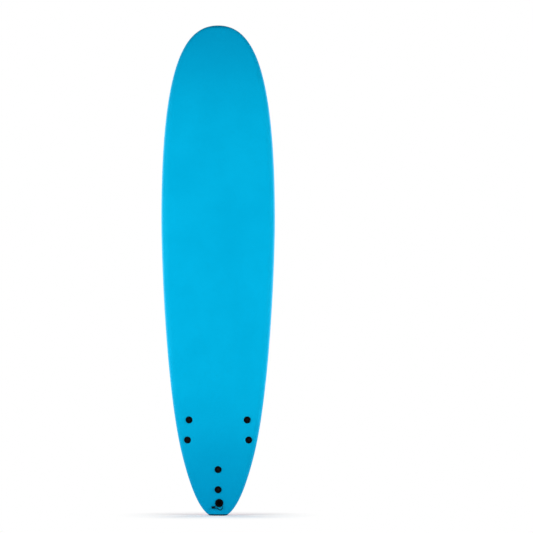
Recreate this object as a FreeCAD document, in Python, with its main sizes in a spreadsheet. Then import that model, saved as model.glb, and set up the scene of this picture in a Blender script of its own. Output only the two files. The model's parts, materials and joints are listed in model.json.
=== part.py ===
import FreeCAD, Part
import Sketcher
import math
import os

from FreeCAD import Placement, Rotation, Vector

# Foam longboard with three bolt-through fins, standing on its tail.
# +Z runs from the tail to the nose, the deck faces -Y and the underside faces +Y.
# The origin is the centre of the tail pad's flat end. Millimetres throughout.

doc = FreeCAD.newDocument("foam_longboard")
sheet = doc.addObject("Spreadsheet::Sheet", "Sizes")

SIZES = {
    # plan outline
    "board_length": 2438.0,
    "board_width": 567.0,
    "wide_point_height": 1470.0,
    "nose_fullness": 162.0,
    "front_straightness": 793.0,
    "rear_straightness": 200.0,
    "hip_half_width": 178.0,
    "hip_height": 295.0,
    "hip_angle": 14.3,
    "hip_reach_up": 328.0,
    "hip_reach_down": 200.0,
    "tail_half_width": 43.0,
    "tail_angle": 56.0,
    "tail_reach": 52.0,
    # side profile
    "rocker_flat_height": 1020.0,
    "nose_rocker": 105.0,
    "tail_rocker": 45.0,
    "thick_point_height": 1250.0,
    "board_thickness": 82.0,
    "nose_thickness": 34.0,
    "tail_thickness": 38.0,
    "nose_rounding": 17.0,
    # layers
    "skin_thickness": 5.0,
    "slick_thickness": 1.0,
    "seam_inset": 10.0,
    "print_inset": 17.0,
    "tail_pad_thickness": 6.0,
    "tail_pad_edge": 1.5,
    # stringers
    "stringer_thickness": 3.0,
    "stringer_offset": 90.0,
    "stringer_tail_gap": 300.0,
    "stringer_nose_gap": 150.0,
    "strip_tail_gap": 110.0,
    "strip_nose_gap": 60.0,
    # fin positions
    "side_fin_height": 423.0,
    "side_fin_offset": 148.6,
    "side_fin_toe": 4.5,
    "side_fin_cant": 5.0,
    "center_fin_height": 175.0,
    "bolt_spacing": 100.0,
    "side_base_shift": 1.0,
    "center_base_shift": -8.0,
    # fin bases
    "base_length": 163.0,
    "base_width": 34.0,
    "base_thickness": 4.0,
    "rim_width": 2.4,
    "rim_height": 1.0,
    "post_radius": 7.9,
    "post_length": 22.0,
    "insert_radius": 4.5,
    "insert_length": 16.0,
    # fin blades
    "fin_chord": 114.0,
    "fin_depth": 115.0,
    "fin_overhang": 68.0,
    "fin_tip_chord": 24.0,
    "fin_root_thickness": 8.0,
    "fin_tip_thickness": 2.6,
    "fin_edge_thickness": 1.2,
    "tongue_length": 60.0,
    "tongue_thickness": 3.6,
    "tongue_depth": 1.8,
    # bolts
    "sleeve_radius": 10.0,
    "sleeve_bore_radius": 8.2,
    "sleeve_recess": 0.5,
    "flange_radius": 17.25,
    "flange_thickness": 3.5,
    "flange_sink": 2.2,
    "flange_edge": 1.2,
    "barrel_radius": 7.9,
    "barrel_length": 12.0,
    "screw_radius": 3.0,
    "screw_head_radius": 5.75,
    "screw_head_height": 1.8,
    "screw_recess_depth": 2.2,
    "hex_across_flats": 4.0,
    "hex_depth": 1.2,
    "thread_reach": 14.0,
    # leash plug
    "leash_offset": 5.5,
    "leash_height": 62.7,
    "cup_flange_radius": 20.5,
    "cup_flange_thickness": 3.0,
    "cup_sink": 0.8,
    "cup_radius": 13.0,
    "cup_length": 15.0,
    "cup_bore_radius": 10.0,
    "cup_bore_depth": 13.0,
    "bar_radius": 2.0,
    "bar_seat": 2.0,
    "bar_depth": 5.0,
    "string_radius": 1.75,
    "knot_radius": 5.8,
    "knot_height": 7.6,
    "knot_edge": 2.2,
    # clearances
    "seat_clearance": 0.05,
    "loose_clearance": 0.3,
}

for row, (alias, value) in enumerate(SIZES.items(), start=1):
    sheet.set(f"A{row}", alias.replace("_", " "))
    sheet.set(f"B{row}", str(value))
    sheet.setAlias(f"B{row}", alias)
doc.recompute()

TAIL_FACE_HEIGHT = 0.0
APEX_SHARE = 0.36
ROLL_SHARE = 0.5
NOSE_STATIONS = [0.6, 3.0, 8.0, 16.0, 30.0, 52.0, 85.0, 130.0, 190.0, 270.0, 370.0, 490.0, 640.0, 800.0]
BODY_STEPS = 6
TAIL_STATIONS = [350.0, 280.0, 205.0, 130.0, 80.0, 50.0, 30.0, 16.0]
FIN_SIDES = {"left": -1, "right": 1, "center": 0}


def size(alias):
    """The number in the sheet's cell of that name."""
    return float(getattr(sheet, alias))


# ---------------------------------------------------------------- hull form


def span(*points):
    """One cubic stretch of the outline, from its end points and handles (half width, height)."""
    curve = Part.BezierCurve()
    curve.setPoles([Vector(x, 0, z) for x, z in points])
    return curve.toBSpline()


def outline():
    """The right-hand edge of the board in plan, from the nose tip to the tail corner."""
    length = size("board_length")
    half = size("board_width") / 2
    wide = size("wide_point_height")
    hip = Vector(size("hip_half_width"), 0, size("hip_height"))
    hip_way = Vector(math.sin(math.radians(size("hip_angle"))), 0, math.cos(math.radians(size("hip_angle"))))
    up = hip + hip_way * size("hip_reach_up")
    down = hip - hip_way * size("hip_reach_down")
    tail_way = math.radians(size("tail_angle"))
    reach = size("tail_reach")
    tail = size("tail_half_width")
    corner = (tail + reach * math.sin(tail_way), reach * math.cos(tail_way))
    edge = span(
        (0, length),
        (size("nose_fullness"), length),
        (half, wide + size("front_straightness")),
        (half, wide),
    )
    edge.join(span((half, wide), (half, wide - size("rear_straightness")), (up.x, up.z), (hip.x, hip.z)))
    edge.join(span((hip.x, hip.z), (down.x, down.z), corner, (tail, TAIL_FACE_HEIGHT)))
    return edge


EDGE = outline()


def bisect(test, low, high):
    """The number between low, where the test holds, and high, where it doesn't."""
    for _ in range(50):
        middle = (low + high) / 2
        if test(middle):
            low = middle
        else:
            high = middle
    return low


def half_width(z, inset=0.0):
    """Half the board's width at height z, measured to a line that runs inset inside the edge."""
    at = bisect(lambda u: EDGE.value(u).z > z, EDGE.FirstParameter, EDGE.LastParameter)
    full = EDGE.value(at).x
    if inset == 0:
        return full

    def inside(x):
        point = Vector(x, 0, z)
        return (EDGE.value(EDGE.parameter(point)) - point).Length > inset

    return bisect(inside, 0.0, full)


def rocker(z):
    """How far the underside's centreline lies above its lowest point."""
    flat = size("rocker_flat_height")
    if z > flat:
        return size("nose_rocker") * ((z - flat) / (size("board_length") - flat)) ** 2.6
    return size("tail_rocker") * ((flat - z) / flat) ** 2.2


def thickness(z):
    """The board's thickness on the centreline, before the nose is rounded over."""
    thick = size("thick_point_height")
    if z > thick:
        end = size("nose_thickness")
        share = (z - thick) / (size("board_length") - thick)
    else:
        end = size("tail_thickness")
        share = (thick - z) / thick
    return end + (size("board_thickness") - end) * (1 - share**2.2)


def rounding(z, inset):
    """1 along the board, falling to 0 as a quarter circle where the nose is rounded over."""
    share = (size("board_length") - inset - z) / (size("nose_rounding") - inset)
    return 1.0 if share >= 1 else math.sqrt(max(0.0, 1 - (1 - share) ** 2))


TAIL_CENTER = rocker(TAIL_FACE_HEIGHT) + thickness(TAIL_FACE_HEIGHT) / 2


class Section:
    """The rail-to-rail cross-section at height z, all of it inset by the same wall."""

    def __init__(self, z, inset=0.0):
        closed = rounding(z, inset)
        deep = thickness(z)
        self.z = z
        self.half = half_width(z, inset)
        self.apex = rocker(z) + APEX_SHARE * deep
        self.tuck = (APEX_SHARE * deep - inset) * closed
        self.roll = (ROLL_SHARE * deep - inset) * closed
        self.bottom = self.apex - self.tuck
        self.top = self.bottom + (deep - 2 * inset) * closed
        rise = self.top - self.apex
        reach = self.half - self.roll
        self.crown = (reach**2 + rise**2 - self.roll**2) / (2 * (rise - self.roll))
        self.tilt = math.atan2(self.apex - (self.top - self.crown), reach)

    def point(self, x, up):
        return Vector(x, TAIL_CENTER - up, self.z)

    def deck(self, x):
        """The deck's height over the crown arc at x."""
        return self.top - self.crown + math.sqrt(self.crown**2 - x**2)

    def on_roll(self, angle, side):
        x = self.half - self.roll + self.roll * math.cos(angle)
        return self.point(side * x, self.apex + self.roll * math.sin(angle))

    def on_tuck(self, angle, side):
        x = self.half - self.tuck + self.tuck * math.cos(angle)
        return self.point(side * x, self.apex - self.tuck * math.sin(angle))

    def wire(self):
        """Flat bottom, tucked rails, rolled rails and crowned deck, as six tangent edges."""
        flat = math.pi / 2
        edges = [Part.LineSegment(self.on_tuck(flat, -1), self.on_tuck(flat, 1)).toShape()]
        tuck = [self.on_tuck(flat, 1), self.on_tuck(flat / 2, 1), self.on_tuck(0, 1)]
        roll = [self.on_roll(0, 1), self.on_roll(self.tilt / 2, 1), self.on_roll(self.tilt, 1)]
        crown = [self.on_roll(self.tilt, 1), self.point(0, self.top), self.on_roll(self.tilt, -1)]
        roll_back = [self.on_roll(self.tilt, -1), self.on_roll(self.tilt / 2, -1), self.on_roll(0, -1)]
        tuck_back = [self.on_tuck(0, -1), self.on_tuck(flat / 2, -1), self.on_tuck(flat, -1)]
        for arc in (tuck, roll, crown, roll_back, tuck_back):
            edges.append(Part.Arc(*arc).toShape())
        return Part.Wire(edges)


def stations(inset=0.0):
    """Heights of the cross-sections from the nose down, close together where the outline turns."""
    tip = size("board_length") - inset
    wide = size("wide_point_height")
    step = (wide - TAIL_STATIONS[0]) / BODY_STEPS
    body = [wide - step * k for k in range(BODY_STEPS)]
    return [tip - drop for drop in NOSE_STATIONS] + body + TAIL_STATIONS + [size("tail_pad_thickness")]


def hull(name, inset):
    """The whole board inside its skin of that thickness, lofted through the cross-sections."""
    part = doc.addObject("Part::Feature", name)
    part.Shape = Part.makeLoft([Section(z, inset).wire() for z in stations(inset)], True, True)
    return part


def plan_zone(name, inset):
    """Everything on the underside's half of the board that lies inset or more inside its edge."""
    heights = stations(inset)
    below = TAIL_FACE_HEIGHT - size("board_thickness")
    side = [Vector(half_width(z, inset), 0, z) for z in heights]
    side.append(Vector(side[-1].x, 0, below))
    loop = side + [Vector(-p.x, 0, p.z) for p in reversed(side)]
    reach = size("board_width")
    plan = Part.Face(Part.makePolygon(loop + loop[:1]))
    plan.translate(Vector(0, -reach, 0))
    prism = plan.extrude(Vector(0, 2 * reach, 0))
    middle = [Vector(-reach, TAIL_CENTER - Section(z).apex, z) for z in stations()]
    middle.append(Vector(-reach, middle[-1].y, below))
    top = middle[0] + Vector(0, 0, size("board_thickness"))
    far = [Vector(-reach, reach, below), Vector(-reach, reach, top.z)]
    profile = Part.Face(Part.makePolygon([top] + middle + far + [top]))
    part = doc.addObject("Part::Feature", name)
    part.Shape = prism.common(profile.extrude(Vector(2 * reach, 0, 0)))
    return part


# ------------------------------------------------------- building blocks


def cylinder(name, radius, height, start="0", frame=None):
    """A cylinder along local Z. Its sizes are expressions on the sheet, or plain numbers."""
    part = doc.addObject("Part::Cylinder", name)
    for field, rule in (("Radius", radius), ("Height", height)):
        if isinstance(rule, str):
            part.setExpression(field, rule)
        else:
            setattr(part, field, rule)
    if frame is None:
        part.setExpression(".Placement.Base.z", start)
    else:
        part.Placement = frame
    return part


def fuse(name, shapes):
    part = doc.addObject("Part::MultiFuse", name)
    part.Shapes = shapes
    return part


def eased_edges(label, base, edge_size, chosen):
    """The base with a chamfer on each edge that the test chooses."""
    doc.recompute()
    part = doc.addObject("Part::Chamfer", label)
    part.Label = label
    part.Base = base
    picked = [number for number, edge in enumerate(base.Shape.Edges, start=1) if chosen(edge)]
    part.Edges = [(number, edge_size, edge_size) for number in picked]
    return part


def round_top(edge):
    """Whether the edge is the upper circle of a cylinder that stands on or through its origin."""
    return edge.isClosed() and edge.CenterOfMass.z > 1e-6


def cut(label, base, tools):
    """The base less the tools, under the label of a finished piece."""
    part = doc.addObject("Part::Cut", label)
    part.Label = label
    part.Base = base
    part.Tool = tools[0] if len(tools) == 1 else fuse(label + "_tools", tools)
    return part


def common(name, base, tool):
    """What the base and the tool share."""
    part = doc.addObject("Part::Common", name)
    part.Base = base
    part.Tool = tool
    return part


def plane(body, role):
    return next(item for item in body.Origin.OriginFeatures if item.Role == role)


def sketch_on(body, name, level="0", shift="0"):
    """An empty sketch parallel to the body's XY plane, raised and moved along X as the sheet says."""
    sketch = body.newObject("Sketcher::SketchObject", name)
    sketch.AttachmentSupport = [(plane(body, "XY_Plane"), "")]
    sketch.MapMode = "FlatFace"
    sketch.setExpression(".AttachmentOffset.Base.z", level)
    sketch.setExpression(".AttachmentOffset.Base.x", shift)
    return sketch


def slot_sketch(body, name, length, width, shift, level="0"):
    """A stadium, length by width overall, centred on the origin and driven by the sheet."""
    sketch = sketch_on(body, name, level, shift)
    radius = size("base_width") / 2
    reach = size("base_length") / 2 - radius
    up = Vector(0, 0, 1)
    right = Part.ArcOfCircle(Part.Circle(Vector(reach, 0, 0), up, radius), -math.pi / 2, math.pi / 2)
    left = Part.ArcOfCircle(Part.Circle(Vector(-reach, 0, 0), up, radius), math.pi / 2, math.pi * 1.5)
    lower = Part.LineSegment(Vector(-reach, -radius, 0), Vector(reach, -radius, 0))
    upper = Part.LineSegment(Vector(reach, radius, 0), Vector(-reach, radius, 0))
    sketch.addGeometry([right, upper, left, lower], False)
    joints = ((0, 2, 1, 1), (1, 2, 2, 1), (2, 2, 3, 1), (3, 2, 0, 1))
    for first, end, second, start in joints:
        sketch.addConstraint(Sketcher.Constraint("Tangent", first, end, second, start))
    sketch.addConstraint(Sketcher.Constraint("Equal", 0, 2))
    sketch.addConstraint(Sketcher.Constraint("Horizontal", 1))
    sketch.addConstraint(Sketcher.Constraint("Symmetric", 0, 3, 2, 3, -1, 1))
    span_rule = sketch.addConstraint(Sketcher.Constraint("DistanceX", 2, 3, 0, 3, 2 * reach))
    round_rule = sketch.addConstraint(Sketcher.Constraint("Radius", 0, radius))
    sketch.setExpression(f"Constraints[{span_rule}]", f"{length} - {width}")
    sketch.setExpression(f"Constraints[{round_rule}]", f"({width}) / 2")
    return sketch


def pair_sketch(body, name, radius, level="0"):
    """Two circles, one at each bolt of a fin."""
    sketch = sketch_on(body, name, level)
    for side in (-1, 1):
        at = Vector(side * size("bolt_spacing") / 2, 0, 0)
        circle = sketch.addGeometry(Part.Circle(at, Vector(0, 0, 1), size("post_radius")), False)
        sketch.addConstraint(Sketcher.Constraint("PointOnObject", circle, 3, -1))
        ends = (circle, 3, -1, 1) if side < 0 else (-1, 1, circle, 3)
        away = sketch.addConstraint(Sketcher.Constraint("DistanceX", *ends, abs(at.x)))
        wide = sketch.addConstraint(Sketcher.Constraint("Radius", circle, size("post_radius")))
        sketch.setExpression(f"Constraints[{away}]", "Sizes.bolt_spacing / 2")
        sketch.setExpression(f"Constraints[{wide}]", radius)
    return sketch


def pad(body, name, sketch, length, down=False):
    feature = body.newObject("PartDesign::Pad", name)
    feature.Profile = sketch
    feature.Reversed = down
    feature.setExpression("Length", length)
    return feature


def pocket(body, name, sketch, length, up=False):
    """Cuts down from its sketch, or up from it."""
    feature = body.newObject("PartDesign::Pocket", name)
    feature.Profile = sketch
    feature.Reversed = up
    feature.setExpression("Length", length)
    return feature


# ------------------------------------------------------------- frames


def fin_frame(side):
    """A fin's own axes: X towards the nose with the toe-in, Z square out of the underside."""
    z = size("side_fin_height") if side else size("center_fin_height")
    x = side * size("side_fin_offset")
    step = 1.0
    slope = (rocker(z + step) - rocker(z - step)) / (2 * step)
    out = Vector(0, 1, slope).normalize()
    ahead = Vector(0, -slope, 1).normalize()
    toe = Rotation(out, -side * size("side_fin_toe"))
    ahead = toe.multVec(ahead)
    base = Vector(x, TAIL_CENTER - rocker(z), z)
    return Placement(base, Rotation(ahead, out.cross(ahead), out, "ZXY"))


def deck_depth(start, way):
    """How far a line must go from the underside before it leaves the deck."""

    def under(far):
        point = start + way * far
        section = Section(point.z)
        return TAIL_CENTER - point.y < section.deck(point.x)

    return bisect(under, 0.0, 2 * size("board_thickness"))


def bolt_frame(side, end):
    """A bolt's own axes at the flange's seat in the deck: X up the board, Z square out of the deck side."""
    frame = fin_frame(side)
    out = frame.Rotation.multVec(Vector(0, 0, 1))
    start = frame.multVec(Vector(end * size("bolt_spacing") / 2, 0, 0))
    seat = deck_depth(start, -out) - size("flange_sink")
    turn = Rotation(Vector(1, 0, 0), 180)
    return Placement(start - out * seat, frame.Rotation.multiply(turn)), seat


def leash_frame():
    """The leash plug's axes: origin on the deck, X to the right, Y up the board, Z out of the deck."""
    z = size("leash_height")
    x = size("leash_offset")
    step = 1.0
    above = Section(z + step).deck(x)
    below = Section(z - step).deck(x)
    slope = (above - below) / (2 * step)
    across = (Section(z).deck(x + step) - Section(z).deck(x - step)) / (2 * step)
    out = Vector(-across, -1, -slope).normalize()
    right = Vector(1, -across, 0).normalize()
    place = Vector(x, TAIL_CENTER - Section(z).deck(x), z)
    return Placement(place, Rotation(right, out.cross(right), out, "ZXY"))


BOLTS = {}
for fin_name, fin_side in FIN_SIDES.items():
    for end_name, end_sign in (("front", 1), ("rear", -1)):
        BOLTS[f"{fin_name}_{end_name}"] = bolt_frame(fin_side, end_sign)
LEASH = leash_frame()


# -------------------------------------------------------- board and layers


def moved(frame, up):
    """The frame moved along its own Z."""
    return frame.multiply(Placement(Vector(0, 0, up), Rotation()))


def bores():
    """What is drilled through every layer: a bore for each bolt sleeve and one for the leash cup."""
    tools = []
    for name, (frame, seat) in BOLTS.items():
        reach = seat + size("base_thickness")
        radius = "Sizes.sleeve_radius + Sizes.seat_clearance"
        bore = cylinder("bore_" + name, radius, reach + size("flange_thickness"), frame=moved(frame, -reach))
        tools.append(bore)
    bottom = moved(LEASH, -size("cup_length") - size("cup_sink") - size("seat_clearance"))
    radius = "Sizes.cup_radius + Sizes.seat_clearance"
    depth = "Sizes.cup_length + 2 * Sizes.cup_flange_thickness"
    tools.append(cylinder("bore_leash", radius, depth, frame=bottom))
    return tools


def recesses():
    """The round seats sunk in the deck for the bolt flanges and the leash plug's flange."""
    tools = []
    for name, (frame, _) in BOLTS.items():
        radius = "Sizes.flange_radius + Sizes.loose_clearance"
        tools.append(cylinder("recess_" + name, radius, "Sizes.flange_thickness * 3", frame=frame))
    radius = "Sizes.cup_flange_radius + Sizes.loose_clearance"
    seat = moved(LEASH, -size("cup_sink"))
    tools.append(cylinder("recess_leash", radius, "Sizes.cup_flange_thickness * 3", frame=seat))
    return tools


def slab(name, left, right, low, high):
    """A tall box across the board's thickness, from x left to x right and from low to high."""
    reach = size("board_width")
    part = doc.addObject("Part::Box", name)
    part.Length = right - left
    part.Width = 2 * reach
    part.Height = high - low
    part.Placement = Placement(Vector(left, -reach, low), Rotation())
    return part


def board_layers():
    """Deck skin, backing, slick, foam core strips and stringers."""
    outer = hull("hull_outer", 0.0)
    under_slick = hull("hull_under_slick", size("slick_thickness"))
    core = hull("hull_core", size("skin_thickness"))
    seam = plan_zone("seam_zone", size("seam_inset"))
    print_zone = plan_zone("print_zone", size("print_inset"))
    drilled = fuse("drilled", bores())
    shell = cut("shell", outer, [core])
    cut("deck_skin", shell, [seam, drilled] + recesses())
    cover = cut("cover", print_zone, [under_slick])
    cut("bottom_backing", common("lower_shell", shell, seam), [cover, drilled])
    cut("bottom_slick", common("slick_sheet", outer, cover), [drilled])
    foam(core, drilled)


def foam(core, drilled):
    """The core's tail block and four foam strips, and the three stringers let into their joints."""
    low = size("stringer_tail_gap")
    high = size("board_length") - size("stringer_nose_gap")
    half = size("stringer_thickness") / 2
    slabs = []
    for name, side in (("left", -1), ("center", 0), ("right", 1)):
        x = side * size("stringer_offset")
        slabs.append(slab(f"slab_{name}", x - half, x + half, low, high))
        common("stringer_" + name, core, slabs[-1])
    slots = fuse("stringer_slots", slabs)
    edge = size("board_width")
    joint = size("stringer_offset")
    low = size("strip_tail_gap")
    high = size("board_length") - size("strip_nose_gap")
    tip = size("board_length")
    tail_bay = slab("tail_bay", -edge, edge, TAIL_FACE_HEIGHT, low)
    cut("core_tail", common("tail_blank", core, tail_bay), [drilled])
    sides = {"left": (-edge, -joint, 0.0), "right": (edge, joint, 0.0)}
    for name, (far, near, middle) in sides.items():
        outer_bay = slab(f"{name}_outer_bay", min(far, near), max(far, near), low, high)
        half_bay = slab(f"{name}_bay", min(far, middle), max(far, middle), low, tip)
        cut(f"core_{name}_outer", common(f"{name}_outer_blank", core, outer_bay), [slots, drilled])
        cut(f"core_{name}_inner", common(f"{name}_half", core, half_bay), [outer_bay, slots, drilled])


def tail_pad():
    """The hard strip across the square tail, flaring with the outline, its outer edge eased."""
    part = doc.addObject("Part::Feature", "tail_pad_block")
    ends = [Section(size("tail_pad_thickness")).wire(), Section(TAIL_FACE_HEIGHT).wire()]
    part.Shape = Part.makeLoft(ends, True, True)
    eased_edges("tail_pad", part, size("tail_pad_edge"), on_end_face)


def on_end_face(edge):
    """Whether the edge borders the tail pad's flat end."""
    return all(abs(vertex.Z - TAIL_FACE_HEIGHT) < 1e-6 for vertex in edge.Vertexes)


# ------------------------------------------------------------------ fins


def base_shift(name):
    """The cell that says how far a fin's plate and blade sit forward of the middle of its bolts."""
    return "Sizes.center_base_shift" if name == "center" else "Sizes.side_base_shift"


def fin_base(name, frame):
    """A black moulded base: raised rim, socket for the blade's tongue, and two bored posts."""
    body = doc.addObject("PartDesign::Body", "fin_base_" + name)
    body.Label = "fin_base_" + name
    shift = base_shift(name)
    plate = slot_sketch(body, "outline_" + name, "Sizes.base_length", "Sizes.base_width", shift)
    pad(body, "plate_" + name, plate, "Sizes.base_thickness")
    inside = ("Sizes.base_length - 2 * Sizes.rim_width", "(Sizes.base_width - 2 * Sizes.rim_width)")
    tray = slot_sketch(body, "tray_" + name, *inside, shift, level="Sizes.base_thickness")
    pocket(body, "tray_cut_" + name, tray, "Sizes.rim_height")
    socket = tongue_sketch(body, "socket_" + name, "Sizes.base_thickness", shift, size("seat_clearance"))
    depth = "Sizes.rim_height + Sizes.tongue_depth + Sizes.seat_clearance"
    pocket(body, "socket_cut_" + name, socket, depth)
    posts = pair_sketch(body, "posts_" + name, "Sizes.post_radius")
    pad(body, "post_pad_" + name, posts, "Sizes.post_length", down=True)
    radius = "Sizes.insert_radius + Sizes.seat_clearance"
    holes = pair_sketch(body, "holes_" + name, radius, level="-Sizes.post_length")
    pocket(body, "hole_cut_" + name, holes, "Sizes.insert_length", up=True)
    body.Placement = frame
    return body


def tongue_sketch(body, name, level, shift, clearance=0.0):
    """The rectangle of the blade's tongue, or of its socket with a clearance all round."""
    sketch = sketch_on(body, name, level, shift)
    x = size("tongue_length") / 2 + clearance
    y = size("tongue_thickness") / 2 + clearance
    corners = [Vector(-x, -y, 0), Vector(x, -y, 0), Vector(x, y, 0), Vector(-x, y, 0)]
    for first, second in zip(corners, corners[1:] + corners[:1]):
        sketch.addGeometry(Part.LineSegment(first, second), False)
    return sketch


FIN_LEVELS = [0.0, 0.2, 0.4, 0.58, 0.74, 0.86, 0.94, 0.985, 1.0]


def fin_section(share, side):
    """One foil of the blade, share of the way up it: a lens with blunt edges, leaning with the cant."""
    chord = size("fin_chord")
    tip_back = -chord / 2 - size("fin_overhang")
    sweep = chord / 2 - (tip_back + size("fin_tip_chord"))
    front = chord / 2 - sweep * (0.55 * share + 0.45 * (1 - math.sqrt(1 - share**2)))
    back = -chord / 2 - size("fin_overhang") * share**2.2
    thick = size("fin_root_thickness")
    thick += (size("fin_tip_thickness") - thick) * share
    lean = side * math.tan(math.radians(size("side_fin_cant"))) * share * size("fin_depth")
    edge = size("fin_edge_thickness") / 2
    fullest = front - 0.4 * (front - back)
    level = f"Sizes.base_thickness - Sizes.rim_height + {share} * Sizes.fin_depth"
    nose = [Vector(front, lean - edge, 0), Vector(front, lean + edge, 0)]
    tail = [Vector(back, lean + edge, 0), Vector(back, lean - edge, 0)]
    upper = Part.Arc(nose[1], Vector(fullest, lean + thick / 2, 0), tail[0])
    lower = Part.Arc(tail[1], Vector(fullest, lean - thick / 2, 0), nose[0])
    return level, [Part.LineSegment(*nose), upper, Part.LineSegment(*tail), lower]


def fin_blade(name, side, frame):
    """A raked, foiled blade with a tongue under its root."""
    body = doc.addObject("PartDesign::Body", "fin_blade_" + name)
    body.Label = "fin_blade_" + name
    foils = []
    for number, share in enumerate(FIN_LEVELS):
        level, shape = fin_section(share, side)
        sketch = sketch_on(body, f"foil_{name}_{number}", level, base_shift(name))
        sketch.addGeometry(shape, False)
        foils.append(sketch)
    loft = body.newObject("PartDesign::AdditiveLoft", "blade_" + name)
    loft.Profile = foils[0]
    loft.Sections = foils[1:]
    loft.Ruled = True
    level = "Sizes.base_thickness - Sizes.rim_height"
    tongue = tongue_sketch(body, "tongue_" + name, level, base_shift(name))
    pad(body, "tongue_pad_" + name, tongue, "Sizes.tongue_depth", down=True)
    body.Placement = frame
    return body


def tube(label, outer, inner, height, frame):
    """A plain tube along the frame's Z."""
    wall = cylinder(label + "_wall", outer, height)
    bore = cylinder(label + "_bore", inner, height)
    part = cut(label, wall, [bore])
    part.Placement = frame
    return part


def group(label, members):
    """Separate solids kept together under one name."""
    part = doc.addObject("Part::Compound", label)
    part.Label = label
    part.Links = members
    return part


def fin_set(name, side):
    """A fin's base, blade and brass inserts, and the two sleeves that carry its posts."""
    frame = fin_frame(side)
    fin_base(name, frame)
    fin_blade(name, side, frame)
    inserts = []
    sleeves = []
    for end_name, end_sign in (("front", 1), ("rear", -1)):
        at = Vector(end_sign * size("bolt_spacing") / 2, 0, -size("post_length"))
        spot = frame.multiply(Placement(at, Rotation()))
        bore = "Sizes.screw_radius + Sizes.seat_clearance"
        label = f"insert_{name}_{end_name}"
        inserts.append(tube(label, "Sizes.insert_radius", bore, "Sizes.insert_length", spot))
        bolt, seat = BOLTS[f"{name}_{end_name}"]
        long = seat - size("sleeve_recess")
        label = f"sleeve_{name}_{end_name}"
        inner_end = moved(bolt, -long)
        sleeves.append(tube(label, "Sizes.sleeve_radius", "Sizes.sleeve_bore_radius", long, inner_end))
    group("fin_inserts_" + name, inserts)
    group("fin_sleeves_" + name, sleeves)


# ----------------------------------------------------------------- bolts


def bolt_flange(name, frame):
    """The black washer on the deck: eased rim, recess for the screw head, barrel down the sleeve."""
    disc = cylinder(f"flange_disc_{name}", "Sizes.flange_radius", "Sizes.flange_thickness")
    eased = eased_edges(f"flange_eased_{name}", disc, size("flange_edge"), round_top)
    barrel = cylinder(
        f"flange_barrel_{name}",
        "Sizes.barrel_radius",
        "Sizes.barrel_length + Sizes.flange_thickness / 2",
        start="-Sizes.barrel_length",
    )
    recess = cylinder(
        f"flange_recess_{name}",
        "Sizes.screw_head_radius + Sizes.loose_clearance",
        "Sizes.screw_recess_depth + Sizes.flange_thickness",
        start="Sizes.flange_thickness - Sizes.screw_recess_depth",
    )
    through = cylinder(
        f"flange_hole_{name}",
        "Sizes.screw_radius + Sizes.loose_clearance",
        "Sizes.barrel_length + Sizes.flange_thickness",
        start="-Sizes.barrel_length",
    )
    part = cut("bolt_flange_" + name, fuse(f"flange_blank_{name}", [eased, barrel]), [recess, through])
    part.Placement = frame
    return part


def screw(name, frame, seat):
    """A socket-head screw that reaches through the flange into the fin's brass insert."""
    under_head = size("flange_thickness") - size("screw_recess_depth")
    tip = size("post_length") - size("thread_reach") - seat
    head = cylinder(
        f"screw_head_{name}",
        "Sizes.screw_head_radius",
        "Sizes.screw_head_height",
        start="Sizes.flange_thickness - Sizes.screw_recess_depth",
    )
    shank = doc.addObject("Part::Cylinder", f"screw_shank_{name}")
    shank.setExpression("Radius", "Sizes.screw_radius")
    shank.Height = under_head - tip
    shank.Placement = Placement(Vector(0, 0, tip), Rotation())
    socket = doc.addObject("Part::Prism", f"screw_socket_{name}")
    socket.Polygon = 6
    socket.setExpression("Circumradius", "Sizes.hex_across_flats / sqrt(3)")
    socket.setExpression("Height", "Sizes.hex_depth * 2")
    rule = "Sizes.flange_thickness - Sizes.screw_recess_depth + Sizes.screw_head_height - Sizes.hex_depth"
    socket.setExpression(".Placement.Base.z", rule)
    part = cut("fin_screw_" + name, fuse(f"screw_blank_{name}", [head, shank]), [socket])
    part.Placement = frame
    return part


# ---------------------------------------------------------- leash plug


def leash_cup():
    """A flanged cup let into the deck, with a cross bar that the leash string is tied to."""
    flange = cylinder(
        "cup_flange", "Sizes.cup_flange_radius", "Sizes.cup_flange_thickness", start="-Sizes.cup_sink"
    )
    eased = eased_edges("cup_flange_eased", flange, size("flange_edge"), round_top)
    barrel = cylinder(
        "cup_barrel",
        "Sizes.cup_radius",
        "Sizes.cup_length + Sizes.cup_flange_thickness / 2",
        start="-Sizes.cup_sink - Sizes.cup_length",
    )
    hollow = cylinder(
        "cup_hollow",
        "Sizes.cup_bore_radius",
        "Sizes.cup_bore_depth * 2",
        start="Sizes.cup_flange_thickness - Sizes.cup_sink - Sizes.cup_bore_depth",
    )
    across = cross_bar("cup_bar_seat", size("seat_clearance"))
    part = cut("leash_cup", fuse("cup_blank", [eased, barrel]), [hollow, across])
    part.Placement = LEASH
    bar = cross_bar("leash_bar", 0.0)
    bar.Label = "leash_bar"
    bar.Placement = LEASH.multiply(bar.Placement)


def cross_bar(name, clearance):
    """The bar across the cup, or the seat that it needs."""
    long = 2 * (size("cup_bore_radius") + size("bar_seat") + clearance)
    part = doc.addObject("Part::Cylinder", name)
    part.Radius = size("bar_radius") + clearance
    part.Height = long
    level = size("cup_flange_thickness") - size("cup_sink") - size("bar_depth")
    part.Placement = Placement(Vector(-long / 2, 0, level), Rotation(Vector(0, 1, 0), 90))
    return part


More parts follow.
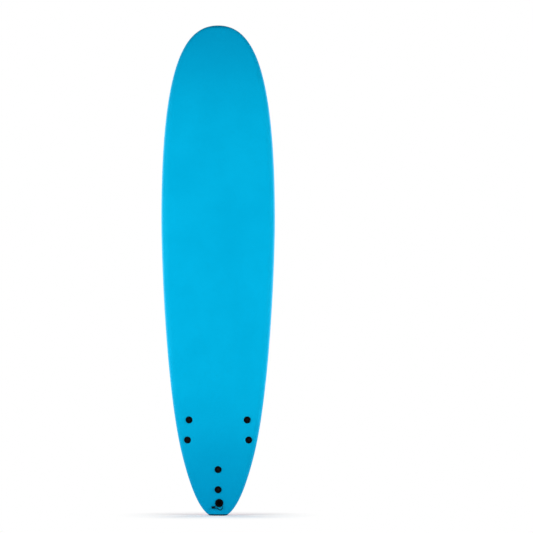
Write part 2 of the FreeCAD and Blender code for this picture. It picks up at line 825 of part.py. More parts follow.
# The string's route in the leash plug's axes: out of the cup over the lower right of its rim,
# round the bight that hangs below the plug, to the knot at the left, and back over the rim.
STRING_ROUTE = [
    (5.4, -4.2, -3.4),
    (5.6, -4.8, 4.0),
    (9.0, -9.2, 6.8),
    (13.8, -14.6, 6.0),
    (17.2, -21.0, 4.0),
    (16.2, -27.2, 2.6),
    (11.6, -32.2, 2.5),
    (4.6, -34.6, 2.5),
    (-3.0, -33.6, 2.5),
    (-9.8, -30.0, 2.5),
    (-17.0, -27.4, 2.5),
    (-25.0, -26.4, 2.6),
    (-33.0, -26.1, 2.6),
    (-35.3, -22.2, 2.7),
    (-33.0, -18.3, 2.8),
    (-25.8, -17.8, 3.4),
    (-19.4, -16.2, 4.8),
    (-13.4, -12.4, 5.6),
    (-8.4, -8.6, 6.4),
    (-5.0, -4.8, 3.6),
    (-4.4, -4.2, -3.4),
]


# The knot's underside, in the same axes: it holds the fold at the string's left-hand end.
KNOT_PLACE = (-32.0, -22.2, 0.5)


def rounded_path(points, name):
    """Straight runs joined by tangent arcs, each arc as large as its two runs allow."""
    starts = [points[0]]
    edges = []
    radii = []
    for before, corner, after in zip(points, points[1:], points[2:]):
        back = before - corner
        on = after - corner
        turn = math.pi - back.getAngle(on)
        take = 0.45 * min(back.Length, on.Length)
        radii.append(take / math.tan(turn / 2))
        enter = corner + back.normalize() * take
        leave = corner + on.normalize() * take
        bisector = (back + on).normalize()
        centre_away = radii[-1] / math.cos(turn / 2)
        middle = corner + bisector * (centre_away - radii[-1])
        edges.append(Part.LineSegment(starts[-1], enter).toShape())
        edges.append(Part.Arc(enter, middle, leave).toShape())
        starts.append(leave)
    edges.append(Part.LineSegment(starts[-1], points[-1]).toShape())
    print(name, "arc radii", [round(r, 1) for r in radii])
    return Part.Wire(edges)


def leash_string():
    """The string tied through the leash plug, as a plain tube, and its knot."""
    route = [Vector(*point) for point in STRING_ROUTE]
    path = rounded_path(route, "leash_string")
    start = path.Edges[0]
    ring = Part.Circle(route[0], start.tangentAt(start.FirstParameter), size("string_radius")).toShape()
    tube_shape = path.makePipeShell([Part.Wire(ring)], True, False)
    expected = math.pi * size("string_radius") ** 2 * path.Length
    share = tube_shape.Volume / expected
    print("leash_string length", round(path.Length, 1), "volume share", round(share, 4))
    part = doc.addObject("Part::Feature", "leash_string")
    part.Shape = tube_shape
    part.Placement = LEASH
    knot = cylinder("knot_block", "Sizes.knot_radius", "Sizes.knot_height")
    eased = eased_edges("leash_knot", knot, size("knot_edge"), Part.Edge.isClosed)
    eased.Placement = LEASH.multiply(Placement(Vector(*KNOT_PLACE), Rotation()))


board_layers()
tail_pad()
for fin_name, fin_side in FIN_SIDES.items():
    fin_set(fin_name, fin_side)
for bolt_name, (bolt_place, bolt_seat) in BOLTS.items():
    bolt_flange(bolt_name, bolt_place)
    screw(bolt_name, bolt_place, bolt_seat)
leash_cup()
leash_string()
doc.recompute()

NODES = [
    "deck_skin",
    "bottom_backing",
    "bottom_slick",
    "core_tail",
    "core_left_outer",
    "core_left_inner",
    "core_right_inner",
    "core_right_outer",
    "stringer_left",
    "stringer_center",
    "stringer_right",
    "tail_pad",
    "leash_cup",
    "leash_bar",
    "leash_string",
    "leash_knot",
]
for kind in ("fin_base_", "fin_blade_", "fin_inserts_", "fin_sleeves_"):
    NODES += [kind + name for name in FIN_SIDES]
for kind in ("bolt_flange_", "fin_screw_"):
    NODES += [kind + name for name in BOLTS]

for item in doc.Objects:
    if "Invalid" in item.State or "Error" in item.State:
        raise RuntimeError(f"{item.Name} failed: {item.State}")

os.makedirs("parts", exist_ok=True)
for node in NODES:
    shape = doc.getObjectsByLabel(node)[0].Shape
    if shape.isNull() or not shape.isValid() or not shape.Solids:
        raise RuntimeError(f"{node} has no valid solid")
    shape.exportStep(f"parts/{node}.step")
    print(f"{node:26s} solids {len(shape.Solids)} volume {shape.Volume / 1000:10.2f} cm3")
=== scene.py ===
# %% [markdown]
# # A soft-top longboard, dressed for the studio
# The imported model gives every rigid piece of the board: fin bases, blades, bolts, sleeves, the leash
# plug and the foam core. This script loads it as a fixed frame and adds what a viewer looks at: smooth
# foam skins, printed plastic underneath, moulded fins and a braided string. Everything is in metres.

import json
import math

import bmesh
import bpy
import numpy as np
from mathutils import Matrix, Vector

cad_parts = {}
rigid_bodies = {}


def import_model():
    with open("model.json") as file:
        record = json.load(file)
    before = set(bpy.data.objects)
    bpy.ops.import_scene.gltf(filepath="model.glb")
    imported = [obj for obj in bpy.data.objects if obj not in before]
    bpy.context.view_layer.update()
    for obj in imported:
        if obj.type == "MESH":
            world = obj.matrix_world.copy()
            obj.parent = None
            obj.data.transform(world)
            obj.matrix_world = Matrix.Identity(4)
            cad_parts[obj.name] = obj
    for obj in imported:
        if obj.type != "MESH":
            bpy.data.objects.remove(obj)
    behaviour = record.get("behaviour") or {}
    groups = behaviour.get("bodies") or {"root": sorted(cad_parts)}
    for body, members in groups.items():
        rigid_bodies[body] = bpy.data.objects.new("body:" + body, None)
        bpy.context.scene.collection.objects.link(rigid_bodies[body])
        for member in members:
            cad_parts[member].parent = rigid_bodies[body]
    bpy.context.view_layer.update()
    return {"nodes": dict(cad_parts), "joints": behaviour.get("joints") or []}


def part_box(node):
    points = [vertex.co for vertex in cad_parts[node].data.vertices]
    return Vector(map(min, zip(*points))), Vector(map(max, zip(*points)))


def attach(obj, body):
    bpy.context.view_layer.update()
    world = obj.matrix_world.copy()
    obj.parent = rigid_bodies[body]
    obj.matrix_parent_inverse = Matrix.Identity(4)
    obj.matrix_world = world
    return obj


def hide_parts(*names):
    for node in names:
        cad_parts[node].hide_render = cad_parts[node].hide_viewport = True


for leftover in list(bpy.data.objects):
    bpy.data.objects.remove(leftover)
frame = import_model()

MM = 0.001

# %% [markdown]
# ## The board's lines
# A shaper draws a board with two curves: the plan outline and the side profile. The outline is three
# cubic Bezier stretches that meet smoothly at the widest point and at the hip near the tail. The
# profile is a power curve for the rocker and another for the foil, the way the thickness fades to
# both ends. With these as functions, a skin can be as fine as the view needs.

# %% Outline and profile
# The solid skin stops this far short of the nose's tip.
TIP_GAP = 0.6
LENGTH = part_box("deck_skin")[1][2] / MM + TIP_GAP
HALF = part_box("deck_skin")[1][0] / MM
TAIL_END = 6.0
WIDE_AT = 1470.0
HIP = np.array([178.0, 295.0])
HIP_TURN = math.radians(14.3)
TAIL_CORNER = np.array([43.0, 0.0])
TAIL_TURN = math.radians(56)
ROCKER_FLAT_AT, NOSE_ROCKER, TAIL_ROCKER = 1020, 105, 45
THICK_AT, THICK, NOSE_THICK, TAIL_THICK = 1250, 82, 34, 38


def bezier(a, b, c, d, count):
    """Points along one cubic stretch, from a to d."""
    t = np.linspace(0, 1, count)[:, None]
    a, b, c, d = (np.asarray(p, float) for p in (a, b, c, d))
    return a * (1 - t) ** 3 + 3 * b * t * (1 - t) ** 2 + 3 * c * t**2 * (1 - t) + d * t**3


def heading(turn):
    """A step of one along the outline, turned that far from straight up."""
    return np.array([math.sin(turn), math.cos(turn)])


nose_run = bezier((0, LENGTH), (162, LENGTH), (HALF, WIDE_AT + 793), (HALF, WIDE_AT), 1500)
above_hip = HIP + 328 * heading(HIP_TURN)
below_hip = HIP - 200 * heading(HIP_TURN)
above_corner = TAIL_CORNER + 52 * heading(TAIL_TURN)
body_run = bezier((HALF, WIDE_AT), (HALF, WIDE_AT - 200), above_hip, HIP, 900)
tail_run = bezier(HIP, below_hip, above_corner, TAIL_CORNER, 900)
edge = np.vstack([nose_run, body_run[1:], tail_run[1:]])


def half_width(z):
    """Half the board's width at height z, in millimetres."""
    return np.interp(-np.asarray(z, float), -edge[:, 1], edge[:, 0])


def rocker(z):
    """How far the underside's centreline is above its lowest point."""
    nose = np.clip((z - ROCKER_FLAT_AT) / (LENGTH - ROCKER_FLAT_AT), 0, 1)
    tail = np.clip((ROCKER_FLAT_AT - z) / ROCKER_FLAT_AT, 0, 1)
    return NOSE_ROCKER * nose**2.6 + TAIL_ROCKER * tail**2.2


def thickness(z):
    """The board's thickness on its centreline."""
    ahead = 1 - np.clip((z - THICK_AT) / (LENGTH - THICK_AT), 0, 1) ** 2.2
    behind = 1 - np.clip((THICK_AT - z) / THICK_AT, 0, 1) ** 2.2
    nose = NOSE_THICK + (THICK - NOSE_THICK) * ahead
    tail = TAIL_THICK + (THICK - TAIL_THICK) * behind
    return np.where(z > THICK_AT, nose, tail)


TAIL_CENTER = float(rocker(0.0) + thickness(0.0) / 2)
print("Widest half width", round(float(half_width(WIDE_AT)), 1), "mm")

# %% [markdown]
# ## The rails
# Between the flat underside and the crowned deck, the rail is two arcs: a small tucked one below the
# widest line and a fuller rolled one above it. The deck is one large arc that leaves the rolled rail
# without a corner. Near the nose the whole section closes like a quarter circle, so the tip is round.


# %% Cross-sections
NOSE_ROUNDING = 17.0
TUCK_SHARE, ROLL_SHARE = 0.36, 0.5


class Rail:
    """The radii and heights that shape the cross-section at each height z."""

    def __init__(self, z):
        z = np.asarray(z, float)
        share = np.clip((LENGTH - z) / NOSE_ROUNDING, 0, 1)
        closed = np.sqrt(1 - (1 - share) ** 2)
        deep = thickness(z)
        self.half = half_width(z)
        self.apex = rocker(z) + TUCK_SHARE * deep
        self.tuck = TUCK_SHARE * deep * closed
        self.roll = ROLL_SHARE * deep * closed
        self.bottom = self.apex - self.tuck
        self.top = self.bottom + deep * closed
        rise = self.top - self.apex
        reach = np.maximum(self.half - self.roll, 1e-6)
        gap = np.maximum(rise - self.roll, 1e-6)
        self.crown = (reach**2 + rise**2 - self.roll**2) / (2 * gap)
        self.tilt = np.arctan2(self.apex - (self.top - self.crown), reach)

    def deck(self, x):
        """Height of the deck over x, rolled rail included."""
        x = np.abs(x)
        joint = self.half - self.roll + self.roll * np.cos(self.tilt)
        crown = self.top - self.crown + np.sqrt(np.maximum(self.crown**2 - x**2, 0))
        out = x - (self.half - self.roll)
        return np.where(x <= joint, crown, self.apex + np.sqrt(np.maximum(self.roll**2 - out**2, 0)))

    def under(self, x):
        """Height of the underside over x, tucked rail included."""
        out = np.maximum(np.abs(x) - (self.half - self.tuck), 0)
        return self.apex - np.sqrt(np.maximum(self.tuck**2 - out**2, 0))


def place(x, height, z):
    """Millimetres across, up from the underside and along the board, as a point in metres."""
    x, height, z = np.broadcast_arrays(x, height, z)
    return np.stack([x, TAIL_CENTER - height, z], axis=-1) * MM


# %% [markdown]
# ## Lines that run round inside the edge
# The blue skin wraps the rail and stops at a seam 10 mm inside the edge. A white line of backing
# shows from there to 17 mm, where the printed sheet begins. Each line is the outline stepped
# inwards along its normal, and round the tail's corner it turns on the corner's point.


# %% Inset lines
SEAM, PRINT = 10.0, 17.0
NOSE_STRETCH, TAIL_STRETCH = 150, 540


def run_length(line):
    """The way along the line to each of its points."""
    return np.concatenate([[0], np.cumsum(np.linalg.norm(np.diff(line, axis=0), axis=1))])


def spacing():
    """Shares of the way from the nose to the tail: close together at both ends and at the bolts."""
    total = run_length(edge)[-1]
    nose = NOSE_STRETCH * np.linspace(0, 1, 60) ** 1.5
    body = np.linspace(NOSE_STRETCH, total - TAIL_STRETCH, 120)[1:]
    tail = np.linspace(total - TAIL_STRETCH, total, 170)[1:]
    return np.concatenate([nose, body, tail]) / total


SHARES = spacing()


def inset_line(inset):
    """The right-hand line that far inside the edge, cut off where the tail pad begins."""
    along = np.gradient(edge, axis=0)
    along /= np.linalg.norm(along, axis=1)[:, None]
    inward = np.stack([along[:, 1], -along[:, 0]], axis=1)
    line = edge + inset * inward
    turn = np.linspace(TAIL_TURN, 0, 40)[1:]
    corner = TAIL_CORNER + inset * np.stack([-np.cos(turn), np.sin(turn)], axis=1)
    line = np.vstack([line, corner]) if inset else line
    keep = line[:, 1] > TAIL_END
    last = int(np.argmin(keep)) if not keep.all() else len(line) - 1
    before, after = line[last - 1], line[last]
    share = (before[1] - TAIL_END) / max(before[1] - after[1], 1e-9)
    line = np.vstack([line[:last], before + share * (after - before)])
    line[0, 0] = 0
    runs = run_length(line)
    at = SHARES * runs[-1]
    return np.stack([np.interp(at, runs, line[:, 0]), np.interp(at, runs, line[:, 1])], axis=1)


edge_line = inset_line(0.0)
print("Inset lines start at", [round(inset_line(inset)[0, 1]) for inset in (SEAM, PRINT)], "mm")

# %% [markdown]
# ## Meshes from grids
# Every skin here is a grid of points, so one helper turns rows of points into quads. A sheet gets its
# thickness from a Solidify modifier that is applied at once, and its holes from a Boolean.


# %% Mesh helpers
def grid_mesh(name, rows):
    """A quad mesh over an array of points, rows by columns."""
    down, across = rows.shape[:2]
    number = np.arange(down * across).reshape(down, across)
    quads = np.stack([number[:-1, :-1], number[:-1, 1:], number[1:, 1:], number[1:, :-1]], axis=-1)
    mesh = bpy.data.meshes.new(name)
    mesh.from_pydata(rows.reshape(-1, 3).tolist(), [], quads.reshape(-1, 4).tolist())
    piece = bpy.data.objects.new(name, mesh)
    bpy.context.collection.objects.link(piece)
    return piece


def one_sheet(name, pieces, near=2e-6):
    """One object out of several grids: meeting edges merged, and every face turned outward."""
    with bpy.context.temp_override(active_object=pieces[0], selected_editable_objects=pieces):
        bpy.ops.object.join()
    sheet = pieces[0]
    sheet.name = sheet.data.name = name
    work = bmesh.new()
    work.from_mesh(sheet.data)
    bmesh.ops.remove_doubles(work, verts=work.verts, dist=near)
    bmesh.ops.dissolve_degenerate(work, edges=work.edges, dist=near / 4)
    bmesh.ops.recalc_face_normals(work, faces=work.faces)
    if work.calc_volume(signed=True) < 0:
        bmesh.ops.reverse_faces(work, faces=work.faces)
    work.to_mesh(sheet.data)
    work.free()
    return sheet


def apply_modifier(piece, kind, **settings):
    """Adds a modifier and keeps its result as the piece's mesh."""
    modifier = piece.modifiers.new(kind.title(), kind)
    for key, value in settings.items():
        setattr(modifier, key, value)
    shape = bpy.data.meshes.new_from_object(piece.evaluated_get(bpy.context.evaluated_depsgraph_get()))
    piece.modifiers.clear()
    piece.data = shape
    return piece


def smooth(piece, angle=35):
    """Smooth shading up to that angle between faces."""
    piece.data.shade_smooth()
    piece.data.set_sharp_from_angle(angle=math.radians(angle))
    return piece


# %% [markdown]
# ## Where the bolts go
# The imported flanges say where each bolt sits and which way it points, so nothing is measured twice.
# A flange's axis is the joint axis of its bolt body.

# %% Bolt places
FLANGE_RADIUS, SLEEVE_RADIUS = 17.25, 10.0
PLUG_RADIUS, CUP_RADIUS = 20.5, 13.0
NAMES = [f"{fin}_{end}" for fin in ("left", "right", "center") for end in ("front", "rear")]
joint_axis = {joint["child"]: Vector(joint["axis"]).normalized() for joint in frame["joints"]}


def flange_top(name):
    """Centre of the flange's outer face and the direction out of the deck."""
    mesh = frame["nodes"]["bolt_flange_" + name].data
    out = joint_axis["bolt_" + name]
    points = np.array([vertex.co for vertex in mesh.vertices])
    along = points @ np.array(out)
    face = points[along > along.max() - 1e-5]
    return Vector((face.min(axis=0) + face.max(axis=0)) / 2), out


BOLTS = {name: flange_top(name) for name in NAMES}
low, high = (np.array(corner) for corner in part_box("leash_cup"))
PLUG = Vector(((low[0] + high[0]) / 2, low[1], (low[2] + high[2]) / 2))
PLUG_OUT = Vector((0.011, -0.9998, 0.0168)).normalized()
for name, (centre, out) in BOLTS.items():
    print(name, [round(x / MM, 1) for x in centre])

# %% [markdown]
# ## The deck skin
# The real skin is one sheet of soft foam, heat-formed over the deck, pulled round the rails and cut
# at the seam underneath. Here the deck side is a grid whose rows follow the section's arcs, and the
# underside is a strip that runs from the edge to the seam, all the way round the nose. Both share
# the edge's points, so they close into one sheet. The foam is pressed down a little round each bolt
# and round the leash plug, before the sheet gets its thickness and its holes.


# %% Deck skin
def press(points, strength=1.2, reach=11.0):
    """Sinks the foam near every flange, falling off smoothly with the distance from its rim."""
    points = points.copy()
    discs = [(centre, out, FLANGE_RADIUS) for centre, out in BOLTS.values()]
    for centre, out, radius in [*discs, (PLUG, PLUG_OUT, PLUG_RADIUS)]:
        apart = points - np.array(centre)
        apart -= (apart @ np.array(out))[..., None] * np.array(out)
        past = np.clip((np.linalg.norm(apart, axis=-1) / MM - radius) / reach, 0, 1)
        dip = strength * (1 - past) ** 2 * (1 + 2 * past)
        on_deck = points[..., 1] < 12 * MM
        points -= (dip * on_deck)[..., None] * MM * np.array(out)
    return points


def deck_rows():
    """The deck from edge to edge: rolled rail, crown and rolled rail, one row for each height."""
    heights = edge_line[:, 1]
    rail = Rail(heights)
    share = np.linspace(0, 1, 12)[:-1]
    angle = share * rail.tilt[:, None]
    roll_x = (rail.half - rail.roll)[:, None] + rail.roll[:, None] * np.cos(angle)
    roll_up = rail.apex[:, None] + rail.roll[:, None] * np.sin(angle)
    joint = rail.half - rail.roll + rail.roll * np.cos(rail.tilt)
    crown_x = joint[:, None] * np.linspace(1, -1, 96)
    crown_up = (rail.top - rail.crown)[:, None] + np.sqrt(rail.crown[:, None] ** 2 - crown_x**2)
    across = np.hstack([roll_x, crown_x, -roll_x[:, ::-1]])
    up = np.hstack([roll_up, crown_up, roll_up[:, ::-1]])
    return place(across, up, heights[:, None])


def rim_strip(levels):
    """The underside's rim as lines, each so far inside the edge and so deep below the surface."""
    lines = []
    for inset, depth in levels:
        line = inset_line(inset)
        rail = Rail(line[:, 1])
        height = rail.apex if inset == 0 else rail.under(line[:, 0])
        both = np.vstack([line[::-1], line[1:] * [-1, 1]])
        lines.append(place(both[:, 0], np.concatenate([height[::-1], height[1:]]) + depth, both[:, 1]))
    return np.array(lines)


def under_rows(inset, depth):
    """The underside inside that line, one row across for each of the line's heights."""
    line = inset_line(inset)
    across = line[:, :1] * np.linspace(1, -1, 60)
    height = Rail(line[:, 1:]).under(across)
    return place(across, height + depth, line[:, 1:])


def drills(radius, start, end):
    """A cylinder on every bolt's axis, from start to end millimetres out from the flange's face."""
    return [cylinder_on(centre, out, radius, start, end) for centre, out in BOLTS.values()]


def cylinder_on(centre, out, radius, start, end):
    """A cylinder on that axis, from start to end millimetres out from the centre."""
    bpy.ops.mesh.primitive_cylinder_add(vertices=64, radius=radius * MM, depth=(end - start) * MM)
    tool = bpy.context.object
    turn = out.to_track_quat("Z", "Y").to_matrix().to_4x4()
    tool.data.transform(Matrix.Translation(centre + out * (start + end) / 2 * MM) @ turn)
    return tool


def cut_with(piece, tools):
    """Subtracts the tools from the piece and deletes them."""
    for tool in tools:
        apply_modifier(piece, "BOOLEAN", object=tool, operation="DIFFERENCE", solver="MANIFOLD")
        bpy.data.objects.remove(tool)
    return piece


SEAM_LEVELS = [((SEAM - 0.8) * (k / 6) ** 2, 0) for k in range(7)] + [(SEAM - 0.3, 0.2), (SEAM - 0.1, 0.9)]
skin_grids = [grid_mesh("top", press(deck_rows())), grid_mesh("rim", rim_strip(SEAM_LEVELS))]
skin = one_sheet("deck_skin_foam", skin_grids)
apply_modifier(skin, "SOLIDIFY", thickness=4.4 * MM, offset=-1, use_rim=True)
seats = drills(FLANGE_RADIUS + 0.25, -3.5, 10)
seats.append(cylinder_on(PLUG, PLUG_OUT, PLUG_RADIUS + 0.3, -3.0, 10))
bores = drills(SLEEVE_RADIUS + 0.05, -30, 0)
bores.append(cylinder_on(PLUG, PLUG_OUT, CUP_RADIUS + 0.05, -30, 0))
cut_with(skin, seats + bores)
smooth(skin)
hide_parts("deck_skin")
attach(skin, "board")
print("Deck skin:", len(skin.data.vertices), "points")

# %% [markdown]
# ## The underside's two layers
# A white foam backing fills the gap between the blue skin's seam and the printed sheet, and runs on
# beneath the sheet. The sheet itself is a millimetre of slick plastic with an eased edge. Both are
# rim strips joined to rows across, and both are drilled for the fins' posts.

# %% Backing and printed sheet
RING = [(SEAM + 0.1, 1.0), (SEAM + 0.25, 0.4), (SEAM + 0.8, 0.15)]
RING += [(PRINT - 0.7, 0.15), (PRINT - 0.2, 0.35), (PRINT + 0.1, 1.15)]
SHEET_EDGE = [(PRINT + 0.2, 0.95), (PRINT + 0.25, 0.35), (PRINT + 0.6, 0.08), (PRINT + 1.4, 0.0)]


def under_sheet(name, levels):
    """A rim strip and the rows across inside it, as one sheet."""
    ring = grid_mesh("ring", rim_strip(levels))
    fill = grid_mesh("fill", under_rows(*levels[-1]))
    return one_sheet(name, [ring, fill])


backing = under_sheet("bottom_backing_foam", RING)
slick = under_sheet("bottom_slick_sheet", SHEET_EDGE)
for sheet, node, slot, wall in (
    (backing, "bottom_backing", "backing_foam", 3.2),
    (slick, "bottom_slick", "slick", 0.9),
):
    apply_modifier(sheet, "SOLIDIFY", thickness=wall * MM, offset=-1, use_rim=True)
    cut_with(sheet, drills(SLEEVE_RADIUS + 0.05, -110, -30))
    smooth(sheet)
    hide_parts(node)
    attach(sheet, "board")
    print(sheet.name, len(sheet.data.vertices), "points")

# %% [markdown]
# ## Fins
# Each fin is a moulded base that sits on the underside and a raked blade that stands in it. The base's
# shape is already right, but the frame's meshes are shaded flat, so a copy is cleaned: its flat faces
# are joined, its edges get a narrow bevel as a mould leaves them, and its curves are shaded smooth.
# The blade is built again from foils, closer together than a solid model needs, so its leading edge
# is one even sweep.


# %% A cleaned copy of a rigid piece
def dressed(node, body, bevel):
    """Copies a node's mesh, joins its flat faces, eases its edges and shades its curves smooth."""
    work = bmesh.new()
    work.from_mesh(frame["nodes"][node].data)
    bmesh.ops.remove_doubles(work, verts=work.verts, dist=1e-6)
    bmesh.ops.dissolve_limit(work, angle_limit=math.radians(0.6), verts=work.verts, edges=work.edges)
    shape = bpy.data.meshes.new(node + "_piece")
    work.to_mesh(shape)
    work.free()
    piece = bpy.data.objects.new(shape.name, shape)
    bpy.context.collection.objects.link(piece)
    if bevel:
        sharp = {"limit_method": "ANGLE", "angle_limit": math.radians(40)}
        apply_modifier(piece, "BEVEL", width=bevel * MM, segments=2, **sharp)
    smooth(piece, 30)
    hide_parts(node)
    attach(piece, body)
    return piece


FINS = {"left": -1, "right": 1, "center": 0}
bases = {fin: dressed("fin_base_" + fin, "fin_" + fin, 0.3) for fin in FINS}
print("Fin bases:", [len(piece.data.vertices) for piece in bases.values()], "points")

# %% [markdown]
# ## Blades
# A foil is round at the front, fullest at four tenths of its chord and blunt at the back. The blade
# sweeps back as it rises, first gently and then quickly towards the tip, and the side blades lean
# out by five degrees. All of it is worked out in the fin's own axes, which toe in by 4.5 degrees.


# %% Blades
SIDE_FIN_Z, SIDE_FIN_X, CENTER_FIN_Z = 423.0, 148.6, 175.0
TOE, CANT = math.radians(4.5), math.radians(5)
CHORD, TIP_CHORD, OVERHANG, FIN_DEPTH = 114, 24, 68, 115
ROOT_THICK, TIP_THICK, EDGE_HALF = 8.0, 2.6, 0.5
TIP_ROUNDING = 0.025
BASE_TOP = 3.0


def fin_frame(side):
    """A fin's axes: X towards the nose, Z square out of the underside."""
    z = SIDE_FIN_Z if side else CENTER_FIN_Z
    slope = float(rocker(z + 1) - rocker(z - 1)) / 2
    out = Vector((0, 1, slope)).normalized()
    ahead = Matrix.Rotation(-TOE * side, 3, out) @ Vector((0, -slope, 1)).normalized()
    turn = Matrix((ahead, out.cross(ahead), out)).transposed().to_4x4()
    return Matrix.Translation(Vector((side * SIDE_FIN_X, TAIL_CENTER - float(rocker(z)), z)) * MM) @ turn


def foil(share, side, around=34):
    """One section of the blade in millimetres, from the trailing edge round the front and back."""
    sweep = CHORD + OVERHANG - TIP_CHORD
    front = CHORD / 2 - sweep * (0.55 * share + 0.45 * (1 - math.sqrt(max(1 - share**2, 0))))
    back = -CHORD / 2 - OVERHANG * share**2.2
    rounded = math.sqrt(1 - max((share - 1 + TIP_ROUNDING) / TIP_ROUNDING, 0) ** 2 * 0.96)
    half = (ROOT_THICK + (TIP_THICK - ROOT_THICK) * share) / 2 * rounded
    lean = side * math.tan(CANT) * share * FIN_DEPTH
    t = (1 - np.cos(np.linspace(0, math.pi, around))) / 2
    belly = np.maximum(np.sin(math.pi * t**0.756), 0) ** 0.8
    thick = belly * (half - EDGE_HALF * rounded) + EDGE_HALF * rounded * np.minimum(t * 12, 1)
    x = front + (back - front) * t
    loop_x = np.concatenate([x[::-1], x[1:]])
    loop_y = np.concatenate([thick[::-1], -thick[1:]]) + lean
    return np.stack([loop_x, loop_y, np.full_like(loop_x, BASE_TOP + FIN_DEPTH * share)], axis=1)


def blade(fin, side):
    """The blade as a skin over its foils, with its back, root and tip closed."""
    shares = 1 - (1 - np.linspace(0, 1, 64)) ** 1.5
    rows = np.array([foil(float(share), side) for share in shares]) * MM
    piece = grid_mesh(f"fin_blade_{fin}_foil", rows)
    work = bmesh.new()
    work.from_mesh(piece.data)
    work.verts.ensure_lookup_table()
    down, count = rows.shape[:2]
    for lower in range(0, (down - 1) * count, count):
        corners = (lower, lower + count, lower + 2 * count - 1, lower + count - 1)
        work.faces.new([work.verts[i] for i in corners])
    for start in (0, (down - 1) * count):
        work.faces.new(work.verts[start : start + count])
    bmesh.ops.recalc_face_normals(work, faces=work.faces)
    work.transform(fin_frame(side))
    work.to_mesh(piece.data)
    work.free()
    smooth(piece, 40)
    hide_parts("fin_blade_" + fin)
    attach(piece, "fin_" + fin)
    return piece


blades = {fin: blade(fin, side) for fin, side in FINS.items()}
print("Blades:", [len(piece.data.vertices) for piece in blades.values()], "points")

# %% [markdown]
# ## Bolts and leash plug
# The flanges are black moulded discs that sink a little into the foam, each with a steel socket-head
# screw in a recess. The leash plug is a wider disc with a cup, and a bar across it that the string
# is tied to. They are cleaned copies too.

# %% Bolts and plug
flanges = [dressed("bolt_flange_" + name, "bolt_" + name, 0.25) for name in NAMES]
screws = [dressed("fin_screw_" + name, "bolt_" + name, 0.15) for name in NAMES]
cup = dressed("leash_cup", "board", 0.3)
pad = dressed("tail_pad", "board", 0.0)
bar = dressed("leash_bar", "board", 0.0)
print("Flange:", len(flanges[0].data.vertices), "points, cup:", len(cup.data.vertices))

# %% [markdown]
# ## The leash string
# A soft board's leash ties to a loop of thin braided string. It leaves the cup over its rim, hangs in
# a bight below the plug, turns in its knot at the left and goes back into the cup. The loop is one
# NURBS spline with given points, in metres, in axes set at the plug, so it bends as a limp
# string does. The braid is built on it: sixteen strands, eight each way, that weave over and under
# as they wind round the line. The axes are 1.3 degrees off square, which lowers the knot by about
# 0.8 mm.

# %% The string's line
PLUG_AXES = Matrix.Translation(Vector((5.5, -17.817, 62.7)) * MM) @ Matrix(
    (
        (0.9999375, -0.0001876, 0.0111816, 0),
        (-0.0111828, 0.0167700, -0.9997968, 0),
        (0.0, 0.9998594, 0.0167711, 0),
        (0, 0, 0, 1),
    )
)
STRING_ROUTE = [
    (0.0054, -0.0042, -0.0034),
    (0.0056, -0.0048, 0.0040),
    (0.0090, -0.0092, 0.0068),
    (0.0138, -0.0146, 0.0060),
    (0.0172, -0.0210, 0.0040),
    (0.0166, -0.0276, 0.0026),
    (0.0124, -0.0328, 0.0025),
    (0.0062, -0.0350, 0.0025),
    (0.0002, -0.0334, 0.0025),
    (-0.0048, -0.0290, 0.0025),
    (-0.0104, -0.0258, 0.0025),
    (-0.0176, -0.0248, 0.0027),
    (-0.0254, -0.0254, 0.0030),
    (-0.0330, -0.0261, 0.0030),
    (-0.0353, -0.0222, 0.0027),
    (-0.0330, -0.0183, 0.0028),
    (-0.0258, -0.0178, 0.0034),
    (-0.0194, -0.0162, 0.0048),
    (-0.0134, -0.0124, 0.0056),
    (-0.0084, -0.0086, 0.0064),
    (-0.0050, -0.0048, 0.0036),
    (-0.0044, -0.0042, -0.0034),
]


def spline_points(name, points, axes):
    """The points along a smooth NURBS spline with those control points."""
    curve = bpy.data.curves.new(name, "CURVE")
    curve.dimensions = "3D"
    spline = curve.splines.new("NURBS")
    spline.points.add(len(points) - 1)
    for point, at in zip(spline.points, points):
        point.co = (*(axes @ Vector(at)), 1)
    spline.order_u = 3
    spline.use_endpoint_u = True
    spline.resolution_u = 24
    holder = bpy.data.objects.new(name, curve)
    bpy.context.collection.objects.link(holder)
    mesh = bpy.data.meshes.new_from_object(holder.evaluated_get(bpy.context.evaluated_depsgraph_get()))
    line = np.array([vertex.co for vertex in mesh.vertices])
    bpy.data.objects.remove(holder)
    return line


string_line = spline_points("string_route", STRING_ROUTE, PLUG_AXES)


# %% [markdown]
# ## Braiding
# A strand needs a frame that travels along the line without twisting. Each step turns the last
# frame by the smallest turn that follows the line. Round that frame every strand winds at a fixed
# pitch, and its distance from the middle rises and falls so that it passes over one strand and
# under the next.


# %% Strands round a line
STRING_RADIUS = 1.75 * MM
BRAID_STEP = 0.35 * MM
STRANDS = 8


def carried_frames(line):
    """Two directions across the line at every point, carried along it without twist."""
    ways = np.gradient(line, axis=0)
    ways /= np.linalg.norm(ways, axis=1)[:, None]
    side = Vector(ways[0]).orthogonal().normalized()
    firsts, seconds = [], []
    for last, way in zip(np.vstack([ways[:1], ways[:-1]]), ways):
        side = Vector(last).rotation_difference(Vector(way)) @ side
        side = (side - Vector(way) * side.dot(Vector(way))).normalized()
        firsts.append(np.array(side))
        seconds.append(np.cross(way, firsts[-1]))
    return np.array(firsts), np.array(seconds)


def tube_rows(line, radius, around):
    """Rings of points round a line."""
    first, second = carried_frames(line)
    angle = np.linspace(0, 2 * math.pi, around + 1)
    ring = np.cos(angle)[:, None] * first[:, None] + np.sin(angle)[:, None] * second[:, None]
    return line[:, None] + ring * radius


